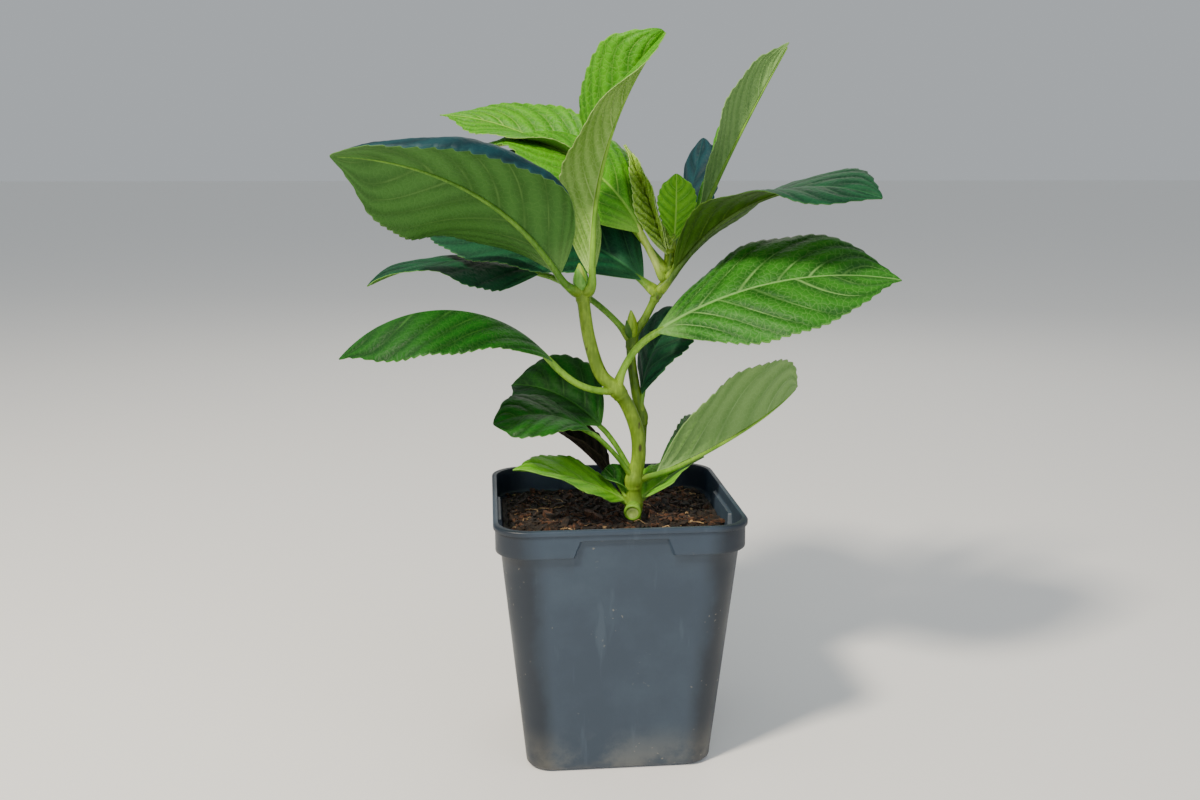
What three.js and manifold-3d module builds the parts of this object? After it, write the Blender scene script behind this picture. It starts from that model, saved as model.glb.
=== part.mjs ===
// A young mophead hydrangea in its square nursery pot.
// Millimetres, +Z up, +X to the right and +Y away from the side it is seen from.
// The origin is the middle of the pot's flat underside.

import * as THREE from "three";
import { LoftGeometry } from "three/addons/geometries/LoftGeometry.js";
import { mergeVertices } from "three/addons/utils/BufferGeometryUtils.js";
import Module from "manifold-3d";

const wasm = await Module();
wasm.setup();

const GAP = 0.3; // clearance between pieces that touch

// The pot: a thin square tub whose rim band steps out, but for a flush panel in the middle of each side.
const POT = {
  foot: 68,
  height: 95,
  flare: 0.1, // each wall leans out by this much for each mm of height
  wall: 1.2,
  floor: 1.8,
  cornerAtFoot: 9,
  cornerAtRim: 12,
  bandHeight: 10.5,
  bandHalf: 44.3,
  lipHalf: 45,
  lipHeight: 2,
  panelTop: 30,
  panelBottom: 35,
  panelDrop: 4, // from the rim's top to the panel's top edge
  drainHole: 9,
  drainInset: 21,
};

// The potting mix, and how deep the stem's foot stands in it. Its top is a low heap: how far each
// level of the heap is drawn in from the pot, and how much of the crown it has reached.
const MIX = { level: 85.5, crown: 1.2, stemDepth: 12 };
const HEAP = [
  { inset: 3, share: 0 },
  { inset: 14, share: 0.7 },
  { inset: 24, share: 1 },
];

// The stem's joints, where leaves and shoots spring, at the middle of the stem.
const NODE = {
  foot: [7.5, -4, MIX.level - MIX.stemDepth],
  lowest: [8, -4, 92],
  ring: [8, -4, 101],
  fork: [1, -8, 136.5],
  leftTop: [-11.5, -8, 172],
  axil: [8, -2.5, 101.5],
  rearRight: [11.5, 3, 124],
  elbow: [8, 4, 153],
  rightTop: [17.5, 4, 170.5],
  crown: [20.3, 4, 175.5],
  crownMiddle: [21, 4, 178.5],
  crownUpper: [21.8, 4, 181.5],
  tip: [22.3, 4, 184.5],
};

// Each limb runs through its joints and the bends between them, thick at the foot and thin at the end.
const MAIN_STEM = {
  through: [
    NODE.foot,
    NODE.lowest,
    NODE.ring,
    [9.7, -4, 110],
    [9.2, -4.5, 119],
    [5.5, -6, 129.5],
    NODE.fork,
    [-4.5, -8, 142],
    [-9, -8, 155],
    NODE.leftTop,
    [-12, -8, 175],
  ],
  radius: [3, 2.2],
  joints: [NODE.lowest, NODE.ring, NODE.fork, NODE.leftTop],
};
const RIGHT_SHOOT = {
  through: [
    NODE.axil,
    [10, 1, 106],
    [11.3, 2.5, 114],
    NODE.rearRight,
    [9.5, 4, 134],
    NODE.elbow,
    [13, 4, 161.5],
    NODE.rightTop,
    NODE.crown,
    NODE.crownUpper,
    NODE.tip,
  ],
  radius: [2.3, 1.2],
  joints: [NODE.rearRight, NODE.elbow, NODE.rightTop],
};
const JOINT_SWELL = 0.7; // how much a joint bulges
const JOINT_REACH = 2.6;
const LIMB_STEP = 4.5;
const LIMB_SIDES = 10;

// The cut stub left at the foot, on the near side, widest at its cut.
const CUT_STUB = { length: 7, heading: 259, rise: -14, radius: [2.6, 3.3] };

// Two side buds: length, thickness and the way each points.
const BUDS = {
  left_bud: { from: NODE.leftTop, length: 12, thick: 6, heading: 250, rise: 70 },
  right_bud: { from: NODE.elbow, length: 12, thick: 4.6, heading: 250, rise: 80 },
};

// Leaves. heading turns from 0 at +X through 90 at +Y, at the stalk's foot and at the tip.
// rise is the slope at the stalk's foot, the blade's foot and the tip. roll turns the blade about its
// own midrib, fold lifts its two halves into a trough, and curl bends each half on towards its edge.
// broadest is where along the blade it is widest. rolledRim bends the far part of one half further.
const LEAVES = {
  low_left_leaf: {
    from: NODE.lowest, heading: [200, 190], rise: [20, 35, 5], stalk: 4, blade: 47, width: 29,
    roll: [-25, 0], fold: [0, 10], curl: 5, broadest: 0.51,
  },
  low_right_leaf: {
    from: NODE.lowest, heading: [30, 25], rise: [25, 30, 15], stalk: 3, blade: 33, width: 20,
    roll: [10, -15], fold: [10, 15], curl: 10, broadest: 0.42,
  },
  low_back_leaf: {
    from: NODE.lowest, heading: [170, 120], rise: [40, 60, 25], stalk: 3, blade: 15, width: 12,
    roll: [50, -20], fold: [0, 20], curl: 10, broadest: 0.57,
  },
  withered_leaf: {
    from: NODE.lowest, heading: [140, 150], rise: [50, 40, 25], stalk: 14, blade: 28, width: 17,
    roll: [30, -30], fold: [20, 40], curl: 20, broadest: 0.57,
  },
  second_left_leaf: {
    from: NODE.ring, heading: [200, 180], rise: [60, 40, -25], stalk: 26, blade: 39, width: 29,
    roll: [-5, -30], fold: [10, 5], curl: -15, broadest: 0.59,
  },
  side_left_leaf: {
    from: NODE.ring, heading: [160, 140], rise: [70, 45, -10], stalk: 24, blade: 44, width: 34,
    roll: [-15, -40], fold: [20, 15], curl: -5, broadest: 0.49,
  },
  second_right_leaf: {
    from: NODE.ring, heading: [5, 55], rise: [10, 20, 15], stalk: 9, blade: 82, width: 53,
    roll: [-25, -45], fold: [65, 30], curl: -15, broadest: 0.55,
  },
  side_right_leaf: {
    from: NODE.rearRight, heading: [45, 15], rise: [95, 85, 20], stalk: 8, blade: 41, width: 30,
    roll: [-30, 30], fold: [-5, 10], curl: -20, broadest: 0.59,
  },
  fork_left_leaf: {
    from: NODE.fork, heading: [195, 175], rise: [-5, 55, -50], stalk: 27, blade: 88, width: 46,
    roll: [5, -15], fold: [-25, -25], curl: -5, broadest: 0.55,
  },
  fork_right_leaf: {
    from: NODE.fork, heading: [-15, -5], rise: [80, 35, -10], stalk: 26, blade: 92, width: 51,
    roll: [35, 40], fold: [-5, 15], curl: -20, broadest: 0.5,
  },
  rear_left_leaf: {
    from: NODE.elbow, heading: [150, 210], rise: [50, 20, -25], stalk: 43, blade: 68, width: 42,
    roll: [-25, 10], fold: [-20, 20], curl: -20, broadest: 0.49,
  },
  broad_left_leaf: {
    from: NODE.leftTop, heading: [220, 180], rise: [10, 55, 0], stalk: 13, blade: 93, width: 68,
    roll: [30, 40], fold: [20, -35], curl: 15, broadest: 0.54, rolledRim: -120,
  },
  upright_leaf: {
    from: NODE.leftTop, heading: [-50, -15], rise: [0, 95, 50], stalk: 8, blade: 90, width: 38,
    roll: [-30, 65], fold: [35, 55], curl: -25, broadest: 0.65,
  },
  right_shoot_left_leaf: {
    from: NODE.rightTop, heading: [165, 150], rise: [45, 40, -20], stalk: 7, blade: 97, width: 64,
    roll: [-45, -50], fold: [25, 10], curl: 15, broadest: 0.49,
  },
  right_shoot_right_leaf: {
    from: NODE.rightTop, heading: [-10, -45], rise: [45, 60, -20], stalk: 10, blade: 88, width: 48,
    roll: [-30, 30], fold: [15, 0], curl: -5, broadest: 0.54,
  },
  top_left_leaf: {
    from: NODE.crown, heading: [170, 130], rise: [60, 65, -30], stalk: 19, blade: 96, width: 46,
    roll: [-35, -5], fold: [0, 35], curl: -30, broadest: 0.32,
  },
  top_right_leaf: {
    from: NODE.crown, heading: [15, -5], rise: [55, 65, 60], stalk: 20, blade: 77, width: 26,
    roll: [-15, -15], fold: [25, 70], curl: -25, broadest: 0.55,
  },
  top_rear_leaf: {
    from: NODE.crownMiddle, heading: [145, 150], rise: [40, 50, 0], stalk: 34, blade: 82, width: 34,
    roll: [-20, -40], fold: [70, -20], curl: 10, broadest: 0.44,
  },
  top_back_leaf: {
    from: NODE.crownMiddle, heading: [65, 65], rise: [60, 35, 55], stalk: 13, blade: 57, width: 21,
    roll: [-45, -20], fold: [-45, 15], curl: -40, broadest: 0.62,
  },
  young_folded_leaf: {
    from: NODE.crownUpper, heading: [115, 120], rise: [70, 55, 50], stalk: 3, blade: 49, width: 20,
    roll: [-60, -15], fold: [60, 55], curl: 0, broadest: 0.44,
  },
  young_round_leaf: {
    from: NODE.crownUpper, heading: [35, 60], rise: [70, 80, 95], stalk: 8, blade: 25, width: 15,
    roll: [50, 25], fold: [5, 15], curl: 15, broadest: 0.6,
  },
  tip_leaf: {
    from: NODE.tip, heading: [150, 120], rise: [85, 80, 75], stalk: 2, blade: 11, width: 6,
    roll: [5, -25], fold: [50, 50], curl: 5, broadest: 0.49,
  },
};
// How a leaf's parts follow from its length: its thickness, its stalk, and the midrib it carries on as.
const LEAF = {
  leastThick: 0.9,
  slimness: 92, // its length over its thickness
  stalkRadius: 0.75,
  stalkSlimness: 150, // the blade's length over what it adds to the stalk's radius
  ribTaper: 0.7, // how much thinner the midrib is at the tip
  openBy: 0.12, // how far along the blade the round stalk has turned flat
  stalkArc: 1.2, // how far round the stalk the blade's edges lie, in radians
  edge: 0.25,
  edgeSlimness: 6, // half the blade's width over what it adds to the edge
};
const BLADE_STATIONS = [0, 0.05, 0.12, 0.22, 0.34, 0.46, 0.58, 0.7, 0.81, 0.9, 0.96, 0.99];
const STALK_SPACING = 7;
const CROWDED = 12; // stalks that spring this close to one another may touch
const ACROSS = [1, 0.55, 0, -0.55, -1];
const ACROSS_ROLLED = [1, 0.85, 0.68, 0.35, 0, -0.55, -1];
const ROLL_FROM = 0.7; // where across the blade a rolled rim starts to turn back

const COLOUR = {
  pot: { color: 0x3b3f44, roughness: 0.55, metalness: 0 },
  mix: { color: 0x4a3524, roughness: 0.95, metalness: 0 },
  stem: { color: 0x7f9a3c, roughness: 0.6, metalness: 0 },
  leaf: { color: 0x3f7a2c, roughness: 0.5, metalness: 0 },
  youngLeaf: { color: 0x86b83a, roughness: 0.5, metalness: 0 },
  witheredLeaf: { color: 0x2c211c, roughness: 0.8, metalness: 0 },
};
const YOUNG = ["young_folded_leaf", "young_round_leaf", "tip_leaf"];

const vec = (p) => new THREE.Vector3(...p);
const mix = (a, b, t) => a + (b - a) * t;
const rad = THREE.MathUtils.degToRad;

// A closed geometry as a manifold solid, and back.
function toSolid(geometry) {
  const bare = new THREE.BufferGeometry();
  bare.setAttribute("position", geometry.getAttribute("position"));
  bare.setIndex(geometry.getIndex());
  const merged = mergeVertices(bare, 1e-4);
  return new wasm.Manifold(
    new wasm.Mesh({
      numProp: 3,
      vertProperties: merged.attributes.position.array,
      triVerts: new Uint32Array(merged.index.array),
    }),
  );
}

function toGeometry(solid) {
  const mesh = solid.getMesh();
  const geometry = new THREE.BufferGeometry();
  geometry.setAttribute("position", new THREE.BufferAttribute(mesh.vertProperties, 3));
  geometry.setIndex(new THREE.BufferAttribute(mesh.triVerts, 1));
  geometry.computeVertexNormals();
  return geometry;
}

const loft = (sections) => toSolid(new LoftGeometry(sections, { capStart: true, capEnd: true }));

// The unit vector of a heading and a rise in degrees.
function direction(heading, rise) {
  const h = rad(heading);
  const r = rad(rise);
  return new THREE.Vector3(Math.cos(r) * Math.cos(h), Math.cos(r) * Math.sin(h), Math.sin(r));
}

// A round section of a limb about a point of its path, square to the path.
function roundSection(centre, tangent, radius, sides) {
  const across = new THREE.Vector3(0, 1, 0).addScaledVector(tangent, -tangent.y).normalize();
  const other = tangent.clone().cross(across);
  return Array.from({ length: sides }, (_, i) => {
    const a = (2 * Math.PI * i) / sides;
    return centre
      .clone()
      .addScaledVector(across, radius * Math.cos(a))
      .addScaledVector(other, radius * Math.sin(a));
  });
}

// One tapering limb along a smooth path, swollen at its joints. spare thickens it all round.
function limb({ through, radius, joints }, spare = 0) {
  const path = new THREE.CatmullRomCurve3(through.map(vec), false, "centripetal");
  const steps = Math.round(path.getLength() / LIMB_STEP);
  const centres = joints.map(vec);
  const sections = [];
  for (let i = 0; i <= steps; i++) {
    const centre = path.getPointAt(i / steps);
    const tangent = path.getTangentAt(i / steps);
    if (i === 0) tangent.set(0, 0, 1); // a level cut at the foot
    const swell = centres.reduce(
      (sum, joint) => sum + JOINT_SWELL * Math.exp(-((joint.distanceTo(centre) / JOINT_REACH) ** 2)),
      0,
    );
    const r = mix(radius[0], radius[1], i / steps) + swell + spare;
    sections.push(roundSection(centre, tangent, r, LIMB_SIDES));
  }
  return loft(sections);
}

// A straight tapering peg from a point, for the cut stub.
function peg(from, { length, heading, rise, radius }) {
  const along = direction(heading, rise);
  const start = vec(from);
  const end = start.clone().addScaledVector(along, length);
  return loft([
    roundSection(start, along, radius[0], LIMB_SIDES),
    roundSection(end, along, radius[1], LIMB_SIDES),
  ]);
}

// A pointed bud: round sections whose radius swells and closes along its length.
function bud({ from, length, thick, heading, rise }) {
  const along = direction(heading, rise);
  const profile = [0, 0.2, 0.45, 0.7, 0.88, 0.98];
  return loft(
    profile.map((t) => {
      const r = (thick / 2) * Math.sqrt(Math.sin(Math.PI * mix(0.25, 0.99, t)));
      return roundSection(vec(from).addScaledVector(along, length * t), along, r, 8);
    }),
  );
}

// Half the blade's width at t along it: it rises to the widest place and runs out at the tip.
function halfWidth(t, width, broadest) {
  const fall = (1 - broadest) / broadest;
  const peak = broadest * (1 - broadest) ** fall;
  return ((width / 2) * t * (1 - t) ** fall) / peak;
}

// One leaf: a round stalk that opens into a thin folded blade with its midrib proud beneath.
// The midrib is the sum of short steps whose heading and rise change evenly along the leaf.
function leaf(spec, spare = 0) {
  const { heading, rise, stalk, blade, width, roll, fold, curl, broadest } = spec;
  const total = stalk + blade;
  const neck = stalk / total;
  const thick = Math.max(LEAF.leastThick, total / LEAF.slimness) + 2 * spare;
  const stalkRadius = LEAF.stalkRadius + blade / LEAF.stalkSlimness + spare;
  const across = spec.rolledRim ? ACROSS_ROLLED : ACROSS;
  const stalkSteps = Math.max(2, Math.round(stalk / STALK_SPACING));
  const stations = Array.from({ length: stalkSteps }, (_, i) => (neck * i) / stalkSteps);
  BLADE_STATIONS.forEach((t) => stations.push(neck + (1 - neck) * t));

  const headingAt = (u) => mix(heading[0], heading[1], u);
  const riseAt = (u) =>
    u < neck ? mix(rise[0], rise[1], u / neck) : mix(rise[1], rise[2], (u - neck) / (1 - neck));
  const substeps = 12;
  const centre = vec(spec.from);
  let reached = 0;

  const sections = stations.map((u) => {
    const step = (u - reached) / substeps;
    for (let k = 0; k < substeps; k++) {
      const middle = reached + step * (k + 0.5);
      centre.addScaledVector(direction(headingAt(middle), riseAt(middle)), step * total);
    }
    reached = u;
    const t = Math.max(0, (u - neck) / (1 - neck));
    const tangent = direction(headingAt(u), riseAt(u));
    const level = new THREE.Vector3(-Math.sin(rad(headingAt(u))), Math.cos(rad(headingAt(u))), 0);
    const up = tangent.clone().cross(level);
    const turn = rad(mix(roll[0], roll[1], t));
    const side = level.clone().multiplyScalar(Math.cos(turn)).addScaledVector(up, Math.sin(turn));
    const normal = up.clone().multiplyScalar(Math.cos(turn)).addScaledVector(level, -Math.sin(turn));

    const opened = Math.min(1, t / LEAF.openBy);
    const rib = stalkRadius * (1 - LEAF.ribTaper * t);
    const top = [];
    const under = [];
    across.forEach((q) => {
      const half = halfWidth(t, width, broadest) + spare;
      const { x, z, slope } = acrossBlade(q, t, spec);
      const round = Math.PI / 2 - q * LEAF.stalkArc;
      const flat = Math.max(half, stalkRadius * 0.8);
      const place = (sign, depth) => {
        const flatSide = x * flat - sign * Math.sin(slope) * depth;
        const flatNormal = z * flat + sign * Math.cos(slope) * depth;
        return centre
          .clone()
          .addScaledVector(side, mix(stalkRadius * Math.cos(round), flatSide, opened))
          .addScaledVector(normal, mix(sign * stalkRadius * Math.sin(round), flatNormal, opened));
      };
      const edge = Math.min(thick / 2, LEAF.edge + half / LEAF.edgeSlimness);
      top.push(place(1, edge));
      under.push(place(-1, q === 0 ? Math.max(edge, rib) : edge));
    });
    return [...top, ...under.reverse()];
  });
  return loft(sections);
}

// Where the blade's surface lies at q across it, for a half width of 1, and its slope there.
function acrossBlade(q, t, { fold, curl, rolledRim = 0 }) {
  const steps = 16;
  const lift = rad(mix(fold[0], fold[1], t));
  const rollAt = (r) => THREE.MathUtils.clamp((r - ROLL_FROM) / (1 - ROLL_FROM), 0, 1);
  const roll = q > 0 ? rad(rolledRim) * Math.sin(Math.PI * t) : 0;
  const slopeAt = (r) => lift + rad(curl) * r + roll * rollAt(r);
  let x = 0;
  let z = 0;
  for (let k = 0; k < steps; k++) {
    const r = (Math.abs(q) * (k + 0.5)) / steps;
    x += (Math.cos(slopeAt(r)) * q) / steps;
    z += (Math.sin(slopeAt(r)) * Math.abs(q)) / steps;
  }
  return { x, z, slope: Math.sign(q) * slopeAt(Math.abs(q)) };
}

const UP = new THREE.Vector3(0, 0, 1);

// A square ring with round corners at one height, anticlockwise from above. Given a panel, the
// middle of each side stands at the panel's own distance.
function squareRing(half, corner, z, panel) {
  const points = [];
  const arcSteps = 4;
  const edge = 0.3;
  for (let side = 0; side < 4; side++) {
    const turn = (side * Math.PI) / 2;
    const put = (x, y) => points.push(new THREE.Vector3(x, y, z).applyAxisAngle(UP, turn));
    if (panel) {
      put(half, -panel.width / 2 - edge);
      put(panel.half, -panel.width / 2 + edge);
      put(panel.half, panel.width / 2 - edge);
      put(half, panel.width / 2 + edge);
    }
    for (let k = 0; k <= arcSteps; k++) {
      const a = (Math.PI / 2) * (k / arcSteps);
      put(half - corner + corner * Math.cos(a), half - corner + corner * Math.sin(a));
    }
  }
  return points;
}

const wallHalf = (z) => POT.foot / 2 + POT.flare * z;
const cornerAt = (z) => mix(POT.cornerAtFoot, POT.cornerAtRim, z / POT.height);

function pot() {
  const { height, wall, floor, bandHalf, lipHalf, lipHeight, panelTop, panelBottom } = POT;
  const bandFoot = height - POT.bandHeight;
  const panelHead = height - POT.panelDrop;
  const step = 0.4;
  const bow = 0.1; // the middle of a plain side stands out by this much
  const ring = (z, half, panelHalf, width) => squareRing(half, cornerAt(z), z, { half: panelHalf, width });
  const wallRing = (z, inset) => ring(z, wallHalf(z) - inset, wallHalf(z) - inset + bow, panelBottom);
  const bandRing = (z, inset, width) => ring(z, bandHalf - inset, wallHalf(z) - inset + bow, width);
  const plainRing = (z, half, width) => ring(z, half, half + bow, width);
  const outside = loft([
    wallRing(0, 0.6),
    wallRing(0.6, 0),
    wallRing(bandFoot, 0),
    bandRing(bandFoot + step, 0, panelBottom),
    bandRing(panelHead - step, 0, panelTop),
    plainRing(panelHead, bandHalf, panelTop),
    plainRing(height - lipHeight - step, bandHalf, panelTop),
    plainRing(height - lipHeight, lipHalf, panelTop),
    plainRing(height - step, lipHalf, panelTop),
    plainRing(height, lipHalf - step, panelTop),
  ]);
  const inside = loft([
    wallRing(floor, wall),
    wallRing(bandFoot - step, wall),
    bandRing(bandFoot + step, wall, panelBottom),
    bandRing(panelHead - step, wall, panelTop),
    plainRing(panelHead + step, bandHalf - wall, panelTop),
    plainRing(height + 1, bandHalf - wall, panelTop),
  ]);
  const drain = new THREE.CylinderGeometry(POT.drainHole / 2, POT.drainHole / 2, 3 * floor, 16);
  const hole = drain.rotateX(Math.PI / 2);
  const corners = [-1, 1].flatMap((x) => [-1, 1].map((y) => [x, y]));
  const holes = corners.map(([x, y]) => hole.clone().translate(x * POT.drainInset, y * POT.drainInset, 0));
  return holes.reduce((rest, each) => rest.subtract(toSolid(each)), outside.subtract(inside));
}

// The mix fills the pot to just under its rim band and rises a little towards the stem.
function pottingMix(stemSpace) {
  const inset = POT.wall + GAP;
  const ring = (z, extra) => squareRing(wallHalf(z) - inset - extra, cornerAt(z), z);
  const bottom = POT.floor + GAP;
  const heap = loft([
    ring(bottom, 0),
    ring(MIX.level - 1, 0),
    ...HEAP.map(({ inset: drawn, share }) => ring(MIX.level + MIX.crown * share, drawn)),
  ]);
  return heap.subtract(stemSpace);
}

function mesh(name, solid, look) {
  const made = new THREE.Mesh(toGeometry(solid), new THREE.MeshStandardMaterial(look));
  made.name = name;
  return made;
}

const plant = new THREE.Group();

const stem = limb(MAIN_STEM).add(peg(NODE.lowest, CUT_STUB));
const socket = { length: 4, heading: 0, rise: 90, radius: [4, 4] };
const stemSpace = limb(MAIN_STEM, GAP).add(peg([NODE.foot[0], NODE.foot[1], NODE.foot[2] - 1], socket));
const shoot = limb(RIGHT_SHOOT).subtract(limb(MAIN_STEM, GAP));
const limbSpace = stemSpace.add(limb(RIGHT_SHOOT, GAP));

plant.add(mesh("pot", pot(), COLOUR.pot));
plant.add(mesh("potting_mix", pottingMix(stemSpace), COLOUR.mix));
plant.add(mesh("main_stem", stem, COLOUR.stem));
plant.add(mesh("right_shoot", shoot, COLOUR.stem));

// Where stalks crowd one joint, each gives way to those named before it.
const taken = [];
const clear = (solid, from) => {
  const near = taken.filter((other) => vec(other.from).distanceTo(vec(from)) < CROWDED);
  const rest = near.reduce((left, other) => left.subtract(other.space), solid.subtract(limbSpace));
  return rest.decompose().reduce((a, b) => (b.volume() > a.volume() ? b : a));
};
for (const [name, spec] of Object.entries(LEAVES)) {
  let look = YOUNG.includes(name) ? COLOUR.youngLeaf : COLOUR.leaf;
  if (name === "withered_leaf") look = COLOUR.witheredLeaf;
  plant.add(mesh(name, clear(leaf(spec), spec.from), look));
  taken.push({ from: spec.from, space: leaf(spec, GAP) });
}
for (const [name, spec] of Object.entries(BUDS)) {
  plant.add(mesh(name, clear(bud(spec), spec.from), COLOUR.youngLeaf));
}

export default plant;
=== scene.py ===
"""Looks for a young mophead hydrangea in its square nursery pot.

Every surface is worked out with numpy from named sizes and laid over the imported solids.
Lengths are millimetres and angles degrees until a mesh is made, and metres from there on.
A leaf's own coordinates are t, from 0 at the blade's foot to 1 at its tip, and q, from -1 at its
right margin through 0 on the midrib to 1 at its left margin.
"""

import math

import bpy
import numpy as np
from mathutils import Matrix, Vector


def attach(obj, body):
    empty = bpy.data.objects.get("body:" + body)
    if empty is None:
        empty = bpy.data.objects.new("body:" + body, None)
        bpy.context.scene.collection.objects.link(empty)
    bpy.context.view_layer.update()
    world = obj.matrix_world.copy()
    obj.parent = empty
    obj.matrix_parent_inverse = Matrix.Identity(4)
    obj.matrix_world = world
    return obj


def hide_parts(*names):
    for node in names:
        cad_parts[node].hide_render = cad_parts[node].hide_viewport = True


MM = 0.001
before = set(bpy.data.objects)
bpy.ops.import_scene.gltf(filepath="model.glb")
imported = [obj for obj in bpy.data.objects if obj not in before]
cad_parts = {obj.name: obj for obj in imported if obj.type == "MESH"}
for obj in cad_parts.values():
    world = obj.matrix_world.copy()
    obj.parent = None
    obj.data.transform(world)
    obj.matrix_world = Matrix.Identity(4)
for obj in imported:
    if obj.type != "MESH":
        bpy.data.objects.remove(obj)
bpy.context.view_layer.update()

# The stem's joints, as in the solids.
JOINT = {
    "foot": (7.5, -4, 73.5),
    "lowest": (8, -4, 92),
    "ring": (8, -4, 101),
    "fork": (1, -8, 136.5),
    "left_top": (-11.5, -8, 172),
    "axil": (8, -2.5, 101.5),
    "rear_right": (11.5, 3, 124),
    "elbow": (8, 4, 153),
    "right_top": (17.5, 4, 170.5),
    "crown": (20.3, 4, 175.5),
    "crown_middle": (21, 4, 178.5),
    "crown_upper": (21.8, 4, 181.5),
    "tip": (22.3, 4, 184.5),
}
MAIN_STEM = {
    "through": [
        JOINT["foot"], JOINT["lowest"], JOINT["ring"], (9.7, -4, 110), (9.2, -4.5, 119), (5.5, -6, 129.5),
        JOINT["fork"], (-4.5, -8, 142), (-9, -8, 155), JOINT["left_top"], (-12, -8, 175),
    ],
    "radius": (3, 2.2),
    "joints": ["lowest", "ring", "fork", "left_top"],
}
RIGHT_SHOOT = {
    "through": [
        JOINT["axil"], (10, 1, 106), (11.3, 2.5, 114), JOINT["rear_right"], (9.5, 4, 134), JOINT["elbow"],
        (13, 4, 161.5), JOINT["right_top"], JOINT["crown"], JOINT["crown_upper"], JOINT["tip"],
    ],
    "radius": (2.3, 1.2),
    "joints": ["rear_right", "elbow", "right_top"],
}
JOINT_SWELL = 0.7
JOINT_REACH = 2.6
SCAR_RIDGE = 0.22  # the fine line that rings each joint
CUT_STUB = {"start": "lowest", "length": 7, "heading": 259, "rise": -14, "radius": (2.6, 3.3)}
BUDS = {
    "left_bud": {
        "start": "left_top", "length": 12, "thick": 6, "heading": 250, "rise": 70, "opens": 60,
        "scales": ("pale", "pale"), "reach": (1, 0.86)},
    "right_bud": {
        "start": "elbow", "length": 12, "thick": 4.6, "heading": 250, "rise": 80, "opens": 200,
        "scales": ("dark", "yellow"), "reach": (0.66, 0.97)},
}


def leaf(start, heading, rise, stalk, blade, width, roll, fold, curl, broadest, skins, **more):
    """One leaf's design values, under the same names as in the solids, with its skins and habits."""
    values = dict(start=start, heading=heading, rise=rise, stalk=stalk, blade=blade, width=width)
    values.update(roll=roll, fold=fold, curl=curl, broadest=broadest, skins=skins, rolled_rim=0)
    values.update(vein_gap=VEIN_GAP, vein_lead=VEIN_LEAD, quilt=QUILT_HEIGHT, tooth_pitch=TOOTH_PITCH)
    values["slot"] = "leaf"
    values.update(more)
    return values


ROLL_FROM = 0.7  # where across the blade a rolled rim starts to turn back
BLADE_THICK = 0.5
TOOTH_PITCH = 4  # along the margin
TOOTH_DEPTH = 1.3
SAMPLES_PER_TOOTH = 7
VEIN_GAP = 13  # between side veins, along the midrib
VEIN_LEAD = 0.36  # how far a side vein runs towards the tip, as a share of the blade
QUILT_HEIGHT = 0.7  # how far the blade bulges between its side veins
TIP_FROM = 0.84  # where the blade starts to draw out to its point
TIP_DRAW = 0.4

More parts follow.
